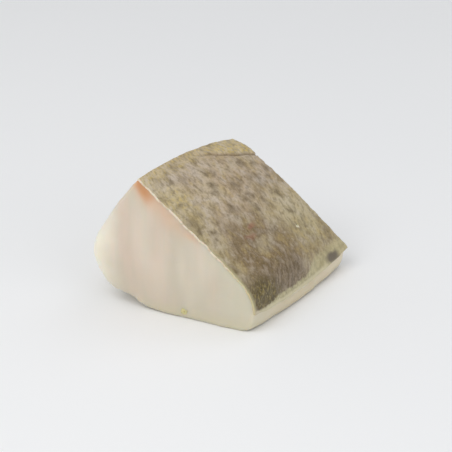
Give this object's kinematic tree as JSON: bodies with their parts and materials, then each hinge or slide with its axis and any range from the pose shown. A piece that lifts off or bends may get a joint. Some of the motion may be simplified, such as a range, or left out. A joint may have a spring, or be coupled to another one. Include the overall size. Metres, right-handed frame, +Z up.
{
  "type": "salted cod loin portion",
  "caption": "Thick wedge of salted cod loin, cut square across the fish, with pale flesh and its mottled skin on the sloping face.",
  "frame": {"origin": "on the ground, under the middle of the portion's box", "axes": "+Z up, +Y along the fish from the front cut to the back cut, +X across the loin, down the slope of the skin"},
  "size_m": [0.0808, 0.0844, 0.0607],
  "materials": {
    "flesh": "moist, soft and slightly translucent cream flesh with faint fibres",
    "skin": "moist satin skin, khaki and mauve grey with olive brown mottling"
  },
  "bodies": {
    "root": {"flesh": "flesh", "skin": "skin"}
  },
  "joints": []
}
